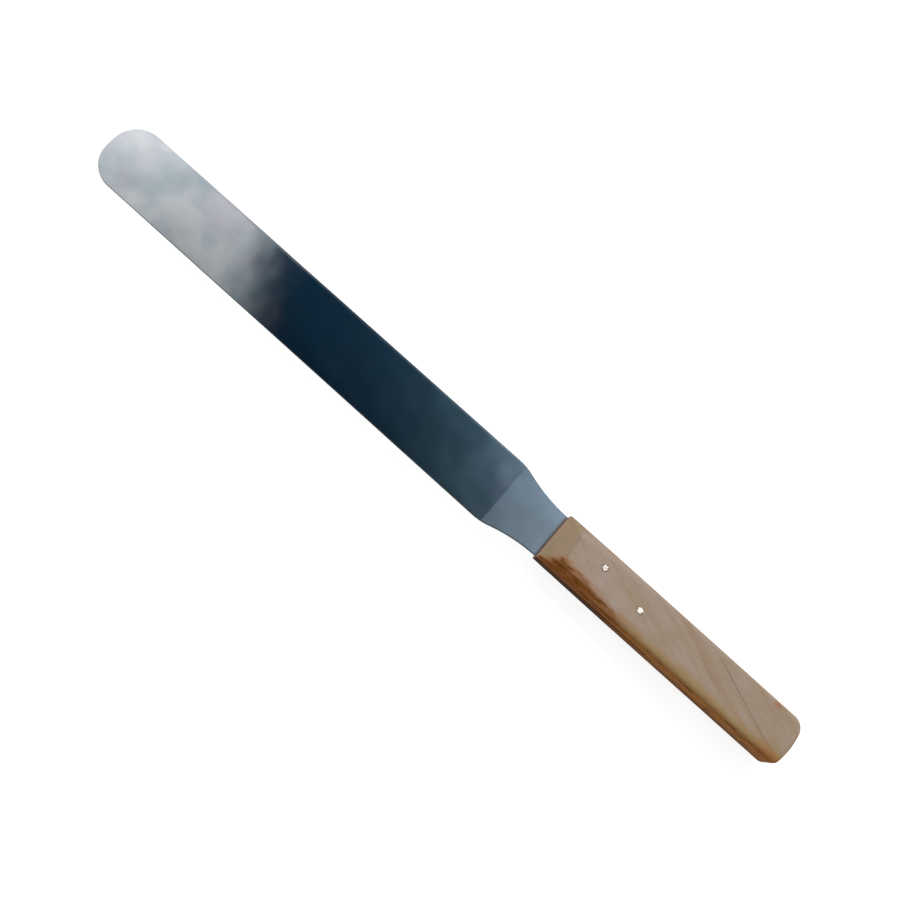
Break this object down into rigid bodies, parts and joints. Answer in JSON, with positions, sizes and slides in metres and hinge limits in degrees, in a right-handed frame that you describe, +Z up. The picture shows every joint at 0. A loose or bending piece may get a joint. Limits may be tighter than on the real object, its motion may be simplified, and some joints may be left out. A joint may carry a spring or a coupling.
{
  "type": "lab spatula",
  "caption": "Flexible flat steel blade with a rounded tip and a waisted neck, riveted into a slotted, bevelled hardwood handle.",
  "frame": {"origin": "middle of the overall box, on the surface that the spatula lies on", "axes": "+X from the butt of the handle towards the tip of the blade, +Z up from the surface that it lies on"},
  "size_m": [0.3085, 0.0254, 0.0153],
  "materials": {
    "steel": "fine ground and polished",
    "beech": "sanded, burnished brown along the sides by handling",
    "pin_wire": "peened and bright"
  },
  "bodies": {
    "root": {"blade": "steel", "handle": "beech", "front_pin": "pin_wire", "rear_pin": "pin_wire"}
  },
  "joints": []
}
